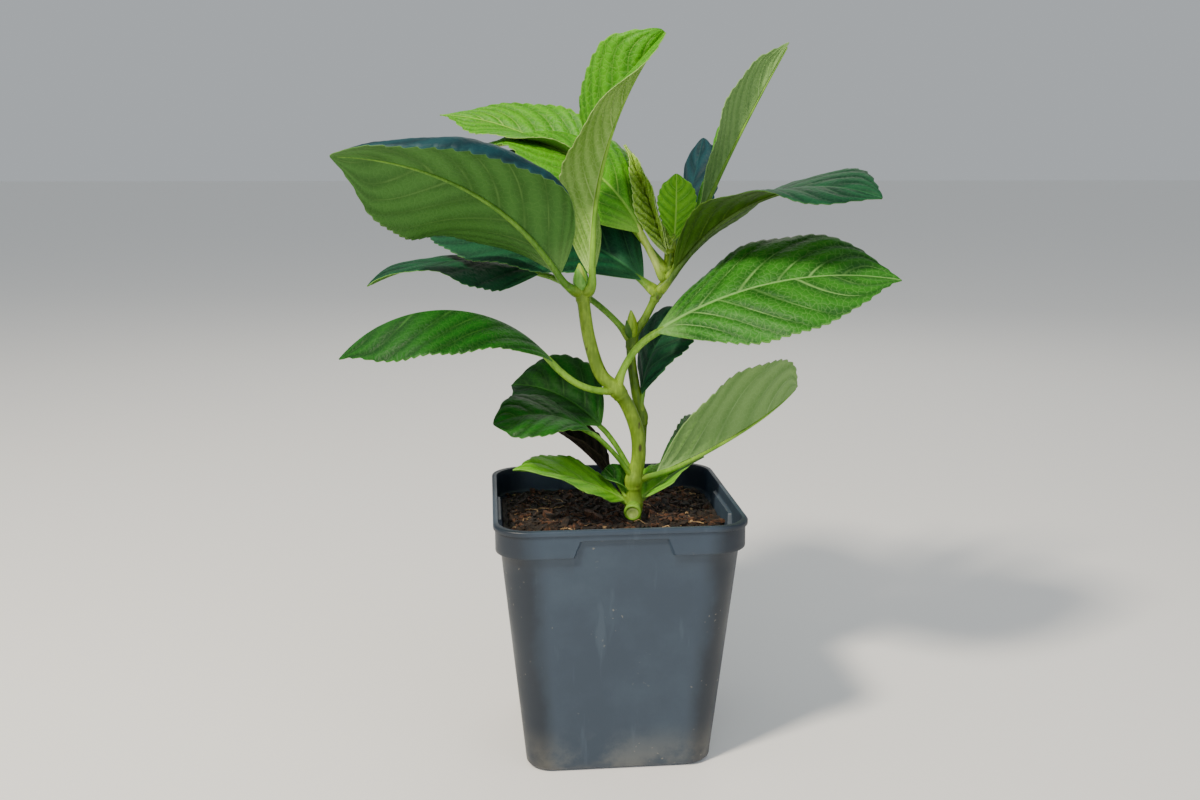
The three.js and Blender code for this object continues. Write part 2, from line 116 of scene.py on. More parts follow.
# Each leaf's upper skin, underside and stalk come last in its values. Six leaves are turned a few
# degrees from the solids' values, so that their blades lie clear of their neighbours.
LEAVES = {
    "low_left_leaf": leaf(
        "lowest", (200, 190), (20, 35, 5), 4, 47, 29, (-25, 0), (0, 10), 5, 0.51,
        ("bright", "green", "light")),
    "low_right_leaf": leaf(
        "lowest", (30, 25), (25, 30, 15), 3, 33, 20, (10, -15), (10, 15), 10, 0.42,
        ("bright", "green", "light")),
    "low_back_leaf": leaf(
        "lowest", (180, 125), (36, 63, 25), 3, 15, 12, (57, -63), (8, 58), -19, 0.57,
        ("full", "green", "light")),
    "withered_leaf": leaf(
        "lowest", (140, 150), (50, 40, 25), 14, 28, 17, (30, -30), (20, 40), 20, 0.57,
        ("dead", "dead", "dead"),
        quilt=1.4, slot="withered_leaf"),
    "second_left_leaf": leaf(
        "ring", (200, 180), (60, 40, -25), 26, 39, 29, (-5, -30), (10, 5), -15, 0.59,
        ("deep", "green", "green")),
    "side_left_leaf": leaf(
        "ring", (164, 137), (70, 45, -12), 24, 44, 34, (-28, -45), (21, 22), -21, 0.49,
        ("deep", "green", "green")),
    "second_right_leaf": leaf(
        "ring", (5, 55), (10, 20, 15), 9, 82, 53, (-25, -45), (65, 30), -15, 0.55, ("full", "grey", "light")),
    "side_right_leaf": leaf(
        "rear_right", (45, 15), (95, 85, 20), 8, 41, 30, (-30, 30), (-5, 10), -20, 0.59,
        ("dark", "green", "green")),
    "fork_left_leaf": leaf(
        "fork", (195, 175), (-5, 55, -50), 27, 88, 46, (5, -15), (-25, -25), -5, 0.55,
        ("deep", "green", "light"),
        quilt=0.35),
    "fork_right_leaf": leaf(
        "fork", (-15, -5), (80, 35, -10), 26, 92, 51, (35, 40), (-5, 15), -20, 0.5,
        ("full", "green", "light")),
    "rear_left_leaf": leaf(
        "elbow", (150, 210), (50, 20, -25), 43, 68, 42, (-25, 10), (-20, 20), -20, 0.49,
        ("dark", "green", "green")),
    "broad_left_leaf": leaf(
        "left_top", (220, 180), (10, 55, 0), 13, 93, 68, (30, 40), (20, -35), 15, 0.54,
        ("blue", "olive", "green"),
        rolled_rim=-120, quilt=0.35, vein_lead=0.45),
    "upright_leaf": leaf(
        "left_top", (-50, -15), (0, 95, 50), 8, 90, 38, (-30, 65), (35, 55), -25, 0.65,
        ("fresh", "pale", "light"),
        tooth_pitch=4.6, vein_gap=9),
    "right_shoot_left_leaf": leaf(
        "right_top", (166, 150), (42, 41, -22), 7, 97, 64, (-36, -48), (10, 17), 8, 0.49,
        ("dark", "olive", "green")),
    "right_shoot_right_leaf": leaf(
        "right_top", (-10, -45), (45, 60, -20), 10, 88, 48, (-30, 30), (15, 0), -5, 0.54,
        ("dark", "shaded", "olive")),
    "top_left_leaf": leaf(
        "crown", (170, 130), (60, 65, -30), 19, 96, 46, (-35, -5), (0, 35), -30, 0.32,
        ("fresh", "green", "cream"),
        tooth_pitch=4.6, vein_gap=9),
    "top_right_leaf": leaf(
        "crown", (15, -5), (55, 65, 60), 20, 77, 26, (-15, -15), (25, 70), -25, 0.55,
        ("fresh", "grey", "light"),
        vein_gap=7.5),
    "top_rear_leaf": leaf(
        "crown_middle", (144, 158), (48, 47, 2), 34, 82, 34, (-11, -41), (72, -17), -1, 0.44,
        ("fresh", "pale", "light"), vein_gap=9),
    "top_back_leaf": leaf(
        "crown_middle", (65, 65), (60, 35, 55), 13, 57, 21, (-45, -20), (-45, 15), -40, 0.62,
        ("blue", "green", "green")),
    "young_folded_leaf": leaf(
        "crown_upper", (115, 124), (81, 61, 51), 3, 49, 20, (-65, -38), (56, 76), 3, 0.44,
        ("young", "young_under", "young"), vein_gap=4.6, vein_lead=0.16, quilt=1.5, tooth_pitch=3,
        slot="young_leaf"),
    "young_round_leaf": leaf(
        "crown_upper", (35, 60), (70, 80, 95), 8, 25, 15, (50, 25), (5, 15), 15, 0.6,
        ("bright", "bright", "young"), vein_gap=3.8, vein_lead=0.25, tooth_pitch=2.4, slot="young_leaf"),
    "tip_leaf": leaf(
        "tip", (144, 105), (94, 68, 71), 2, 11, 6, (-37, 46), (54, 5), 19, 0.49,
        ("young", "young_under", "young"), vein_gap=2, vein_lead=0.16, tooth_pitch=1.6,
        slot="young_leaf"),
}
LEAST_HALF = 0.25  # half the blade's width at its very ends
STALK_START = 1.2  # how far from the middle of its joint a stalk starts
CLASP_REACH = 4.5  # a stalk's foot is wider over this distance

POT = {
    "foot": 68, "height": 95, "flare": 0.1, "wall": 1.2, "floor": 1.8, "corner_at_foot": 9,
    "corner_at_rim": 12, "band_height": 10.5, "band_half": 44.3, "lip_half": 45, "lip_height": 2,
    "panel_top": 30, "panel_bottom": 35, "panel_drop": 4, "drain_hole": 9, "drain_inset": 21,
}
SLOPE = 0.45  # half the width of the step from a flush panel out to the rim band
UNDERSIDE = ((0.5, 15), (0.5, 21), (0, 23), (0, 31.5), (0.25, 32.9), (0.8, 33.6))  # height, half width
STEP = ((0, 0.1), (0.08, 0.45), (0.22, 0.75), (0.45, 0.93), (0.8, 1))  # rise, share of the way out
LIP_STEP = ((-0.25, 0), (-0.1, 0.2), (0, 0.6), (0.15, 0.9), (0.4, 1), (1.2, 1))
LIP_ROUND = 0.7  # the radius of the lip's upper edge
MIX = {
    "level": 85.5, "crown": 1.2, "reach": 42, "lump": 0.7, "hollow": 0.8, "bare_patch": 4.5,
    "crumbs": 2600, "fibres": 130,
}
GAP = 0.3  # between the mix and the pot's wall


def linear(code):
    """A hex colour as linear RGBA."""
    channels = [int(code[i:i + 2], 16) / 255 for i in (1, 3, 5)]
    return tuple(c / 12.92 if c <= 0.04045 else ((c + 0.055) / 1.055) ** 2.4 for c in channels) + (1.0,)


def smooth(low, high, x):
    """The smooth step from 0 at low to 1 at high."""
    u = np.clip((x - low) / (high - low), 0, 1)
    return u * u * (3 - 2 * u)


def bell(x, width):
    """A bell curve of height 1 at x = 0."""
    return np.exp(-((x / width) ** 2))


def direction(heading, rise):
    """Unit vectors of headings and rises in degrees."""
    h, r = np.radians(heading), np.radians(rise)
    return np.stack([np.cos(r) * np.cos(h), np.cos(r) * np.sin(h), np.sin(r)], -1)


def unit(v):
    """Vectors over their own lengths."""
    return v / np.linalg.norm(v, axis=-1, keepdims=True)


def put(name, data):
    """Puts a mesh, a lamp or a camera into the scene as an object."""
    made = bpy.data.objects.new(name, data)
    bpy.context.scene.collection.objects.link(made)
    return made


def grid_quads(rows, columns, closed=False, first=0, flip=False):
    """Quads of a grid of points, row by row. A closed grid's last column joins its first."""
    i = np.arange(rows - 1)[:, None]
    j = np.arange(columns if closed else columns - 1)[None, :]
    k = (j + 1) % columns
    quads = np.stack([i * columns + j, i * columns + k, (i + 1) * columns + k, (i + 1) * columns + j], -1)
    quads = quads.reshape(-1, 4) + first
    return quads[:, ::-1] if flip else quads


class Shape:
    """Gathers the points and faces of one piece, with a look for each face.

    Two vectors follow each point for the paint. On a blade, plan is the place on the flattened
    leaf in millimetres, with half the midrib's width last, and share is t, q and the count of
    side veins. On a stalk, plan starts with the distance from its joint.
    """

    def __init__(self):
        self.points, self.faces, self.looks = [], [], []
        self.paint = {"plan": [], "share": []}
        self.count = 0

    def add(self, points, faces, look=0, plan=(99, 9, 0), share=(0.5, 0.5, 0.5)):
        points = np.asarray(points, float).reshape(-1, 3)
        self.faces += [[v + self.count for v in face] for face in faces]
        self.looks += [look] * len(faces)
        self.points.append(points)
        for key, value in (("plan", plan), ("share", share)):
            self.paint[key].append(np.broadcast_to(np.asarray(value, float).reshape(-1, 3), points.shape))
        self.count += len(points)

    def rings(self, rings, look=0, flip=False, **paint):
        """A stack of closed rings, each seen anticlockwise from ahead, shut with a flat end at both ends."""
        rows, columns = rings.shape[:2]
        faces = grid_quads(rows, columns, closed=True, flip=flip).tolist()
        first, last = list(range(columns)), list(range((rows - 1) * columns, rows * columns))
        faces += [first, last[::-1]] if flip else [first[::-1], last]
        self.add(rings, faces, look, **paint)

    def sheet(self, upper, under, looks, plan=(99, 9, 0), share=(0.5, 0.5, 0.5)):
        """Two grids of points laid one over the other and stitched shut round their rim."""
        rows, columns = upper.shape[:2]
        count = rows * columns
        over = grid_quads(rows, columns, flip=True)
        below = grid_quads(rows, columns, first=count)
        rim = np.concatenate([
            np.arange(columns), np.arange(2 * columns - 1, count, columns),
            np.arange(count - 2, count - columns - 1, -1), np.arange(count - 2 * columns, 0, -columns)])
        after = np.roll(rim, -1)
        edge = np.stack([after, after + count, rim + count, rim], -1)
        points = np.concatenate([upper.reshape(-1, 3), under.reshape(-1, 3)])
        both = {}
        for key, value in (("plan", plan), ("share", share)):
            one = np.broadcast_to(np.asarray(value, float), upper.shape).reshape(-1, 3)
            both[key] = np.concatenate([one, one])
        start = len(self.looks)
        self.add(points, np.concatenate([over, below, edge]).tolist(), looks[1], **both)
        self.looks[start:start + len(over)] = [looks[0]] * len(over)

    def make(self, name, materials, node, sharp=None):
        """The finished piece, which rides on the root body and stands for a node."""
        mesh = bpy.data.meshes.new(name)
        mesh.from_pydata((np.concatenate(self.points) * MM).tolist(), [], self.faces)
        mesh.polygons.foreach_set("use_smooth", [True] * len(mesh.polygons))
        mesh.polygons.foreach_set("material_index", self.looks)
        for key, parts in self.paint.items():
            layer = mesh.attributes.new(key, "FLOAT_VECTOR", "POINT")
            layer.data.foreach_set("vector", np.concatenate(parts).astype(np.float32).reshape(-1))
        mesh.update()
        if sharp:
            mesh.set_sharp_from_angle(angle=math.radians(sharp))
        for material in materials:
            mesh.materials.append(material)
        piece = put(name, mesh)
        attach(piece, "root")
        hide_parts(node)
        return piece


def tube(shape, centres, tangents, radii, sides, look=0, ups=None, channel=0, clasp=None, ridges=0,
         away=None):
    """A tube along a path: point = centre + radius (clasp cos a across + sin a up), its ends domed shut.

    channel sinks a groove along its top, clasp widens it sideways, and ridges ripple its skin.
    """
    centres, tangents = np.asarray(centres, float), unit(np.asarray(tangents, float))
    radii = np.broadcast_to(radii, (len(centres),))
    clasp = np.ones(len(centres)) if clasp is None else clasp
    if ups is None:
        across = np.array([0, 1, 0]) - tangents * tangents[:, 1:2]
        ups = np.cross(tangents, unit(across))
    across = unit(np.cross(tangents, ups))
    dome = np.radians([80, 50, 25])
    foot = centres[0] - tangents[0] * (radii[0] * np.sin(dome))[:, None]
    end = centres[-1] + tangents[-1] * (radii[-1] * np.sin(dome[::-1]))[:, None]
    centres = np.concatenate([foot, centres, end])
    radii = np.concatenate([radii[0] * np.cos(dome), radii, radii[-1] * np.cos(dome[::-1])])
    across, ups, clasp = (np.concatenate([v[:1]] * 3 + [v] + [v[-1:]] * 3) for v in (across, ups, clasp))
    a = np.arange(sides) * 2 * math.pi / sides
    reach = 1 - channel * np.maximum(0, np.sin(a)) ** 8 + ridges * np.sin(7 * a)
    out = (reach * np.cos(a))[None, :, None] * (across * clasp[:, None])[:, None]
    out = out + (reach * np.sin(a))[None, :, None] * ups[:, None]
    away = np.full(len(centres) - 6, 99.0) if away is None else away
    away = np.concatenate([away[:1]] * 3 + [away] + [away[-1:]] * 3)
    plan = np.stack([away, 0 * away, 0 * away], -1)[:, None] + np.zeros((1, sides, 1))
    shape.rings(centres[:, None] + out * radii[:, None, None], look, flip=True, plan=plan)


def smooth_path(points, samples):
    """A centripetal Catmull-Rom curve through the points, in even steps: centres, tangents and distances."""
    p = np.asarray(points, float)
    p = np.concatenate([[2 * p[0] - p[1]], p, [2 * p[-1] - p[-2]]])
    knots = np.concatenate([[0], np.cumsum(np.linalg.norm(np.diff(p, axis=0), axis=1) ** 0.5)])
    u = np.linspace(knots[1], knots[-2], 60 * len(points))
    i = np.clip(np.searchsorted(knots, u, side="right") - 1, 1, len(p) - 3)

    def between(a, b, start, end):
        return (a * (end - u)[:, None] + b * (u - start)[:, None]) / (end - start)[:, None]

    k = [knots[i - 1], knots[i], knots[i + 1], knots[i + 2]]
    a1 = between(p[i - 1], p[i], k[0], k[1])
    a2 = between(p[i], p[i + 1], k[1], k[2])
    a3 = between(p[i + 1], p[i + 2], k[2], k[3])
    b1 = between(a1, a2, k[0], k[2])
    b2 = between(a2, a3, k[1], k[3])
    curve = between(b1, b2, k[1], k[2])
    along = np.concatenate([[0], np.cumsum(np.linalg.norm(np.diff(curve, axis=0), axis=1))])
    even = np.linspace(0, along[-1], samples)
    centres = np.stack([np.interp(even, along, curve[:, axis]) for axis in range(3)], -1)
    return centres, unit(np.gradient(centres, axis=0)), even


def half_width(t, width, broadest):
    """Half the blade's width: t (1 - t)^fall over its peak, drawn in towards a pointed tip."""
    fall = (1 - broadest) / broadest
    peak = broadest * (1 - broadest) ** fall
    return width / 2 * t * (1 - t) ** fall / peak * (1 - TIP_DRAW * smooth(TIP_FROM, 1, t))


def midline(spec, u):
    """Centre, tangent, level side and up of the midrib at shares u of the leaf's whole length.

    The tangent's heading changes evenly along the whole leaf. Its rise changes evenly along the
    stalk, and again along the blade. The centre is the sum of short steps along the tangent.
    """
    total = spec["stalk"] + spec["blade"]
    fine = np.linspace(0, 1, 600)
    heading = np.interp(fine, [0, 1], spec["heading"])
    rise = np.interp(fine, [0, spec["stalk"] / total, 1], spec["rise"])
    step = direction(heading, rise) * total / (len(fine) - 1)
    path = np.concatenate([np.zeros((1, 3)), np.cumsum((step[1:] + step[:-1]) / 2, 0)]) + JOINT[spec["start"]]
    centre = np.stack([np.interp(u, fine, path[:, axis]) for axis in range(3)], -1)
    heading, rise = np.interp(u, fine, heading), np.interp(u, fine, rise)
    tangent = direction(heading, rise)
    side = direction(heading + 90, 0 * rise)
    return centre, tangent, side, np.cross(tangent, side)


def turned(spec, t, side, up):
    """The blade's own side and normal at t, rolled about the midrib."""
    roll = np.radians(np.interp(t, [0, 1], spec["roll"]))[:, None]
    return side * np.cos(roll) + up * np.sin(roll), up * np.cos(roll) - side * np.sin(roll)


def side_veins(spec, t, q):
    """A count that is whole along each side vein.

    A vein leaves the midrib at a wide angle and bends on towards the tip, by a share of the
    blade that grows as q (0.6 + 0.4 q). Its fellows are unevenly spaced, and those of the two
    halves alternate.
    """
    a = np.abs(q)
    left = np.where(q > 0, 1.0, 0.0)
    level = t - spec["vein_lead"] * a * (0.6 + 0.4 * a)
    count = level * max(5, round(spec["blade"] / spec["vein_gap"]))
    return count + 0.5 * left + 0.13 * np.sin(11 * level + spec["heading"][0] + 2 * left)


def blade_relief(spec, t, q, half):
    """Height of the blade over its plain sheet, in millimetres.

    It bulges between the side veins as |sin|^0.7, puckers in cells about 3 mm wide, waves along
    its margins, and sinks in a groove over the midrib.
    """
    size = spec["blade"] / 90
    a = np.abs(q)
    veins = side_veins(spec, t, q)
    bulge = np.abs(np.sin(np.pi * veins)) ** 0.7 - 0.55
    cells = np.abs(np.sin(np.pi * a * half / 3.1 + veins)) * np.abs(np.sin(np.pi * 3 * veins))
    spread = smooth(0.04, 0.2, a) * smooth(1, 0.84, a) * smooth(0.02, 0.15, t) * smooth(1, 0.88, t)
    quilt = spec["quilt"] * (0.4 + 0.6 * size) * spread * (bulge + 0.3 * cells)
    beat = 2 * np.pi * 3.1 * t + spec["heading"][0] + np.where(q > 0, 2.0, 0)
    wave = 0.9 * size * a ** 3 * np.sin(beat) * np.sin(np.pi * t)
    return quilt + wave - 0.35 * bell(a * half, 1.2) * smooth(0, 0.1, t)


def across_blade(spec, t, q):
    """Place and slope across the blade, for a half width of 1, on the grid t by q.

    Each half leaves the midrib at the fold angle and bends on by curl towards its margin. A
    rolled rim turns back past ROLL_FROM on the left half. Place is the running sum of the
    cosine and sine of the slope.
    """
    steps = 32
    r = (np.arange(steps) + 0.5) / steps
    fold = np.radians(np.interp(t, [0, 1], spec["fold"]))[:, None]
    plain = fold + math.radians(spec["curl"]) * r[None, :]
    turn = math.radians(spec["rolled_rim"]) * np.sin(np.pi * t)[:, None]
    turn = turn * np.clip((r - ROLL_FROM) / (1 - ROLL_FROM), 0, 1)
    at = np.abs(q) * steps
    low = np.minimum(at.astype(int), steps - 1)
    halves = []
    for slope in (plain, plain + turn):
        zero = np.zeros((len(t), 1))
        x = np.concatenate([zero, np.cumsum(np.cos(slope), 1) / steps], 1)
        z = np.concatenate([zero, np.cumsum(np.sin(slope), 1) / steps], 1)
        tables = (x, z, np.concatenate([slope[:, :1], slope], 1))
        halves.append([table[:, low] * (1 - at + low) + table[:, low + 1] * (at - low) for table in tables])
    left = (q > 0)[None, :]
    x = np.where(left, halves[1][0], -halves[0][0])
    z = np.where(left, halves[1][1], halves[0][1])
    return x, z, np.where(left, halves[1][2], -halves[0][2])


def margin_teeth(spec, t, q):
    """How far the saw teeth stand out of the margin: a slow rise and a quick fall towards the tip."""
    phase = (t * round(spec["blade"] / spec["tooth_pitch"])) % 1
    tooth = phase ** 0.8 * (1 - smooth(0.74, 1, phase)) - 0.25
    depth = TOOTH_DEPTH * min(1, 0.3 + spec["width"] / 60) * tooth * np.abs(q) ** 10
    return depth * smooth(0.12, 0.3, t) * (1 - smooth(0.94, 1, t)) * np.sign(q)


def make_leaf(name, spec):
    """A thin closed blade over its midrib, which runs down into the channelled stalk."""
    shape = Shape()
    total = spec["stalk"] + spec["blade"]
    neck = spec["stalk"] / total
    teeth = round(spec["blade"] / spec["tooth_pitch"])
    t = np.linspace(0.004, 0.996, teeth * SAMPLES_PER_TOOTH + 1)
    beside = np.concatenate([[0.008, 0.03, 0.065], np.linspace(0.11, 1, 20)])
    q = np.concatenate([-beside[::-1], beside])
    centre, _, side, up = midline(spec, neck + (1 - neck) * t)
    side, normal = turned(spec, t, side, up)
    half = np.maximum(half_width(t, spec["width"], spec["broadest"]), LEAST_HALF)[:, None]
    x, z, lean = across_blade(spec, t, q)
    tt, qq = np.broadcast_arrays(t[:, None], q[None, :])
    teeth_out = margin_teeth(spec, tt, qq)
    x, z = x * half + np.cos(lean) * teeth_out, z * half + np.sin(lean) * teeth_out
    face = unit(normal[:, None] * np.cos(lean)[..., None] - side[:, None] * np.sin(lean)[..., None])
    points = centre[:, None] + side[:, None] * x[..., None] + normal[:, None] * z[..., None]
    points = points + face * blade_relief(spec, tt, qq, half)[..., None]
    thin = face * (BLADE_THICK / 2 * (1 - 0.6 * np.abs(qq) ** 6))[..., None]
    rib = stalk_radius(spec, tt)
    plan = np.stack([tt * spec["blade"], qq * half, rib], -1)
    share = np.stack([tt, qq, side_veins(spec, tt, qq)], -1)
    shape.sheet(points + thin, points - thin, (0, 1), plan, share)

    foot = STALK_START / total
    u = np.linspace(foot, neck + (1 - neck) * 0.97, 70)
    along = (u - neck) / (1 - neck)
    centre, tangent, side, up = midline(spec, u)
    _, normal = turned(spec, np.clip(along, 0, 1), side, up)
    near_stem = bell((u - foot) * total, CLASP_REACH)
    radius = stalk_radius(spec, along) * (1 + 0.3 * near_stem)
    sunk = smooth(-0.08, 0.12, along) * (radius * 0.85 + 0.25)
    tube(shape, centre - normal * sunk[:, None], tangent, radius, 14, look=2, ups=normal, channel=0.22,
         clasp=1 + 0.55 * near_stem, away=u * total)
    upper, under, stalk = spec["skins"]
    looks = [UPPER_SKINS[upper], UNDER_SKINS[under], STALK_SKINS[stalk]]
    shape.make(name + "_blade", looks, name)


def stalk_radius(spec, t):
    """The stalk's radius, which carries on as the midrib's and falls as 0.8 t^0.6 along it."""
    return (0.75 + spec["blade"] / 150) * (1 - 0.8 * np.clip(t, 0, 1) ** 0.6)


def make_bud(name, spec):
    """A plump pointed bud: a ridged heart and two cupped scales that part at its tip."""
    shape = Shape()
    axis = direction(spec["heading"], spec["rise"])
    start = np.array(JOINT[spec["start"]], float)
    across = unit(np.cross([0, 0, 1.0], axis))
    other = np.cross(axis, across)

    def place(t, turn, swell):
        """A point at t along the bud and turn round it, where the bud closes as 1 - t^1.8."""
        plump = spec["thick"] / 2 * np.where(
            t < 0.35, 0.6 + 0.4 * np.sin(np.pi * t / 0.7), 1 - np.clip((t - 0.35) / 0.65, 0, 1) ** 1.8)
        out = np.cos(turn)[..., None] * across + np.sin(turn)[..., None] * other
        return start + axis * (spec["length"] * t)[..., None] + out * (plump * swell + 0.12)[..., None]

    t = np.linspace(0, 0.97, 30)[:, None]
    turn = np.linspace(0, 2 * math.pi, 28, endpoint=False)[None, :]
    shape.rings(place(t + 0 * turn, turn + 0 * t, 0.84 - 0.05 * np.abs(np.sin(4 * turn))))
    for look, reach in enumerate(spec["reach"]):
        t = np.linspace(0, reach, 24)[:, None]
        s = np.linspace(-1, 1, 17)[None, :]
        spread = np.radians(96) * (1 - (t / reach) ** 2.2) ** 0.5 + 0.02
        turn = math.radians(spec["opens"] + 180 * look) - s * spread
        keel = 0.96 + 0.1 * bell(s, 0.18) - 0.05 * s ** 4
        upper = place(t + 0 * s, turn, keel)
        under = place(t + 0 * s, turn, keel - 0.09)
        shape.sheet(upper, under, (look + 1, look + 1))
    scales = [BUD_SCALES[scale] for scale in spec["scales"]]
    shape.make(name + "_scales", [STALK_SKINS["young"]] + scales, name)


def make_limb(name, covers, limb, bark, stub=None):
    """A tapering stem, swollen at its joints, each with a fine ring where leaves clasped it."""
    shape = Shape()
    centres, tangents, even = smooth_path(limb["through"], 260)
    radius = np.interp(even, [0, even[-1]], limb["radius"])
    for joint in limb["joints"]:
        distance = np.linalg.norm(centres - np.array(JOINT[joint]), axis=1)
        below = even - even[np.argmin(distance)] + JOINT_REACH
        radius = radius + JOINT_SWELL * bell(distance, JOINT_REACH) + SCAR_RIDGE * bell(below, 0.45)
    tube(shape, centres, tangents, radius, 36, ridges=0.012)
    if stub:
        # A callus rolls over the edge of the cut, and the cut face dips to its pith.
        axis = direction(stub["heading"], stub["rise"])
        wide = stub["radius"][1]
        thin = stub["radius"][0]
        profile = [(0, thin), (2, thin), (4.5, wide - 0.25), (6.2, wide), (6.8, wide)]
        callus = [(7.05, wide - 0.2), (7.15, wide - 0.5), (7, wide - 0.85), (6.85, wide - 1.1)]
        face = [(6.8, wide - 1.4), (6.82, wide * 0.4), (6.7, wide * 0.3), (6.6, wide * 0.15)]
        a = np.arange(28) * 2 * math.pi / 28
        across = unit(np.cross([0, 0, 1.0], axis))
        out = np.cos(a)[:, None] * across + np.sin(a)[:, None] * np.cross(axis, across)
        start = np.array(JOINT[stub["start"]], float)
        rings = np.stack([start + axis * d + out * r for d, r in profile + callus + face])
        first = len(shape.looks)
        shape.rings(rings, look=1)
        cut = first + len(out) * (len(profile) + len(callus) - 1)
        shape.looks[cut:] = [2] * (len(shape.looks) - cut)
    shape.make(name, [bark, STALK_SKINS["light"], CUT_FACE], covers)


def wall_half(z):
    """Half the pot's width outside, which grows evenly with height."""
    return POT["foot"] / 2 + POT["flare"] * z


def corner_at(z):
    """The radius of the pot's corners at a height."""
    return POT["corner_at_foot"] + (POT["corner_at_rim"] - POT["corner_at_foot"]) * z / POT["height"]


def square_ring(half, corner, z, panel=None):
    """A level ring: a square of this half width, whose corners are arcs.

    Given a panel as its own distance and half its width, the middle of each side stands there,
    and slopes out to the rest of the side over less than a millimetre.
    """
    straight = half - corner
    x, y = half, np.linspace(-straight, straight, 26)[1:-1]
    if panel:
        middle, edge = panel
        away = [np.linspace(0, edge - 1, 5), edge + SLOPE * np.array([-1, -0.33, 0.33, 1])]
        away = np.concatenate(away + [np.linspace(edge + 1.2, straight, 4)[:-1]])
        y = np.concatenate([-away[:0:-1], away])
        x = half + (middle - half) * smooth(edge + SLOPE, edge - SLOPE, np.abs(y))
    arc = np.linspace(0, math.pi / 2, 12)
    x = np.concatenate([x + 0 * y, straight + corner * np.cos(arc)])
    y = np.concatenate([y, straight + corner * np.sin(arc)])
    quarters = []
    for k in range(4):
        c, s = (1, 0, -1, 0)[k], (0, 1, 0, -1)[k]
        quarters.append(np.stack([x * c - y * s, x * s + y * c, np.full(len(x), z)], -1))
    return np.concatenate(quarters)


def make_pot():
    """One thin wall, carried round a square with round corners from the underside up, over and in.

    Each station of the profile is a height, half a width, and the same half width in the middle
    of the sides, where the rim band is let in by a panel that narrows upwards.
    """
    wall, height, floor = POT["wall"], POT["height"], POT["floor"]
    band, lip = POT["band_half"], POT["lip_half"]
    band_foot, panel_head = height - POT["band_height"], height - POT["panel_drop"]
    lip_foot = height - POT["lip_height"]

    def between(z, share):
        """Half the width at a share of the way from the wall out to the rim band."""
        return wall_half(z) + (band - wall_half(z)) * share

    def station(z, half, middle=None):
        """One ring of the wall. The panel's width runs from its foot to its head."""
        share = np.clip((z - band_foot) / (panel_head - band_foot), 0, 1)
        edge = (POT["panel_bottom"] + (POT["panel_top"] - POT["panel_bottom"]) * share) / 2
        drawn_in = min(1, half / (wall_half(z) - 2))
        middle = half if middle is None else middle
        return square_ring(half, corner_at(z) * drawn_in, z, (middle, edge * drawn_in))

    out_step = [(band_foot + rise, share) for rise, share in STEP]
    head_step = [(panel_head - 0.4 + rise, share) for rise, share in STEP]
    rings = [station(z, half) for z, half in UNDERSIDE]
    rings += [station(z, wall_half(z)) for z in (1.6, *np.linspace(5, band_foot - 0.3, 12))]
    rings += [station(z, between(z, share), wall_half(z)) for z, share in out_step]
    rings += [station(z, band, wall_half(z)) for z in np.linspace(band_foot + 2, panel_head - 0.7, 4)]
    rings += [station(z, band, between(z, share)) for z, share in head_step]
    rings += [station(lip_foot + rise, band + (lip - band) * share) for rise, share in LIP_STEP]
    for a in np.radians([20, 45, 70, 90]):
        over, out = LIP_ROUND * math.sin(a), LIP_ROUND * math.cos(a)
        rings.append(station(height - LIP_ROUND + over, lip - LIP_ROUND + out))
    rings += [station(height, band - wall + 0.3), station(height - 0.15, band - wall + 0.08)]
    rings += [station(z, band - wall) for z in (height - 0.5, panel_head + 1.2)]
    rings += [station(z, band - wall, between(z, share) - wall) for z, share in head_step[::-1]]
    rings += [station(z, band - wall, wall_half(z) - wall) for z in (panel_head - 1, band_foot + 1.6)]
    rings += [station(z, between(z, share) - wall, wall_half(z) - wall) for z, share in out_step[::-1]]
    rings += [station(z, wall_half(z) - wall) for z in np.linspace(band_foot - 1, floor + 1.5, 8)]
    inner = wall_half(floor) - wall
    rings += [station(floor + 0.4, inner - 0.4), station(floor, inner - 1.4), station(floor, UNDERSIDE[0][1])]
    shape = Shape()
    shape.rings(np.stack(rings))
    pot = shape.make("pot_shell", [PLASTIC], "pot", sharp=40)
    cutter = Shape()
    a = np.arange(40) * 2 * math.pi / 40
    for x in (-1, 1):
        for y in (-1, 1):
            ring = np.stack([np.cos(a), np.sin(a), 0 * a], -1) * POT["drain_hole"] / 2
            middle = np.array([x, y, 0]) * POT["drain_inset"]
            cutter.rings(np.stack([ring + middle + [0, 0, z] for z in (-3, 3 * floor)]))
    bore_holes(pot, cutter)


def bore_holes(piece, cutter):
    """Cuts a shape's closed rings out of a piece, for good."""
    mesh = bpy.data.meshes.new("drain_bores")
    mesh.from_pydata((np.concatenate(cutter.points) * MM).tolist(), [], cutter.faces)
    tool = put("drain_bores", mesh)
    cut = piece.modifiers.new("drain_bores", "BOOLEAN")
    cut.operation = "DIFFERENCE"
    cut.solver = "EXACT"
    cut.object = tool
    bored = bpy.data.meshes.new_from_object(piece.evaluated_get(bpy.context.evaluated_depsgraph_get()))
    piece.modifiers.remove(cut)
    piece.data = bored
    bpy.data.objects.remove(tool)


def from_stem(x, y):
    """The level distance from where the stem leaves the mix."""
    return np.hypot(x - JOINT["lowest"][0], y - JOINT["lowest"][1])


